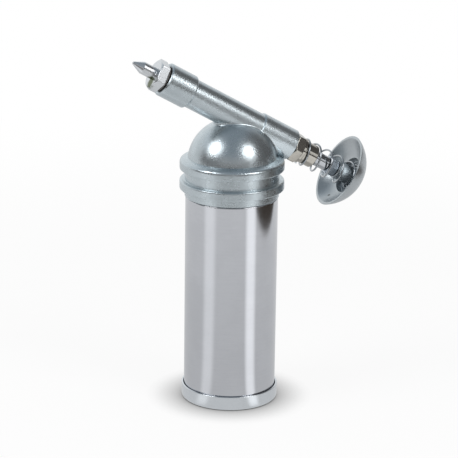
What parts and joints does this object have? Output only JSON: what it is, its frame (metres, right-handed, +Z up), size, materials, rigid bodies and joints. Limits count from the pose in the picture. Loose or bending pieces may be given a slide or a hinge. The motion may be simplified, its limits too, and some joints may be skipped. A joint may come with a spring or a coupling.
{
  "type": "push-type grease applicator",
  "caption": "Hand-held push-type grease applicator: chromed tube, screwed-on domed pump head with a tilted barrel, pointed nozzle and sprung palm knob.",
  "frame": {"origin": "centre of the base cap's underside", "axes": "+Z up along the tube, +X towards the palm knob, -X towards the nozzle"},
  "size_m": [0.1188, 0.0508, 0.1725],
  "materials": {
    "chromed_tube": "gloss",
    "plated_cap": "gloss",
    "plated_zinc_casting": "gloss",
    "zinc_plated_steel": "gloss",
    "bright_steel": "polished",
    "pressed_steel": "satin",
    "black_rubber": "matte"
  },
  "bodies": {
    "reservoir": {"reservoir_tube": "chromed_tube", "base_cap": "plated_cap"},
    "follower": {"follower_rivet": "pressed_steel", "follower_back_plate": "pressed_steel", "follower_cup": "black_rubber", "follower_top_plate": "pressed_steel"},
    "seal": {"head_gasket": "black_rubber"},
    "head": {"pump_head": "plated_zinc_casting", "nozzle": "zinc_plated_steel", "nozzle_gasket": "black_rubber", "valve_spring": "bright_steel", "gland_washer": "zinc_plated_steel", "gland_packing": "black_rubber", "gland_nut": "bright_steel", "return_spring": "bright_steel"},
    "ball": {"valve_ball": "bright_steel"},
    "plunger": {"plunger": "bright_steel", "plunger_seal": "black_rubber", "lock_nut": "zinc_plated_steel", "palm_knob": "plated_zinc_casting"}
  },
  "joints": [
    {"name": "follower_slide", "type": "slide", "parent": "reservoir", "child": "follower", "axis": [0, 0, 1], "range_m": [0, 0.09]},
    {"name": "head_lift", "type": "slide", "parent": "reservoir", "child": "seal", "axis": [0, 0, 1], "range_m": [0, 0.0161]},
    {"name": "head_turn", "type": "hinge", "parent": "seal", "child": "head", "pos_m": [0, 0, 0.118], "axis": [0, 0, 1], "range_deg": [0, 2880]},
    {"name": "plunger_slide", "type": "slide", "parent": "head", "child": "plunger", "axis": [-0.866, 0, 0.5], "range_m": [0, 0.008], "stiffness_N_per_m": 800, "springref_m": -0.006, "deforming": ["return_spring"]},
    {"name": "valve_lift", "type": "slide", "parent": "head", "child": "ball", "axis": [-0.866, 0, 0.5], "range_m": [0, 0.0012], "stiffness_N_per_m": 450, "springref_m": -0.002, "deforming": ["valve_spring"]}
  ],
  "couplings": [
    {"joint": "head_lift", "follows": "head_turn", "m_per_rad": 0.00031831}
  ]
}
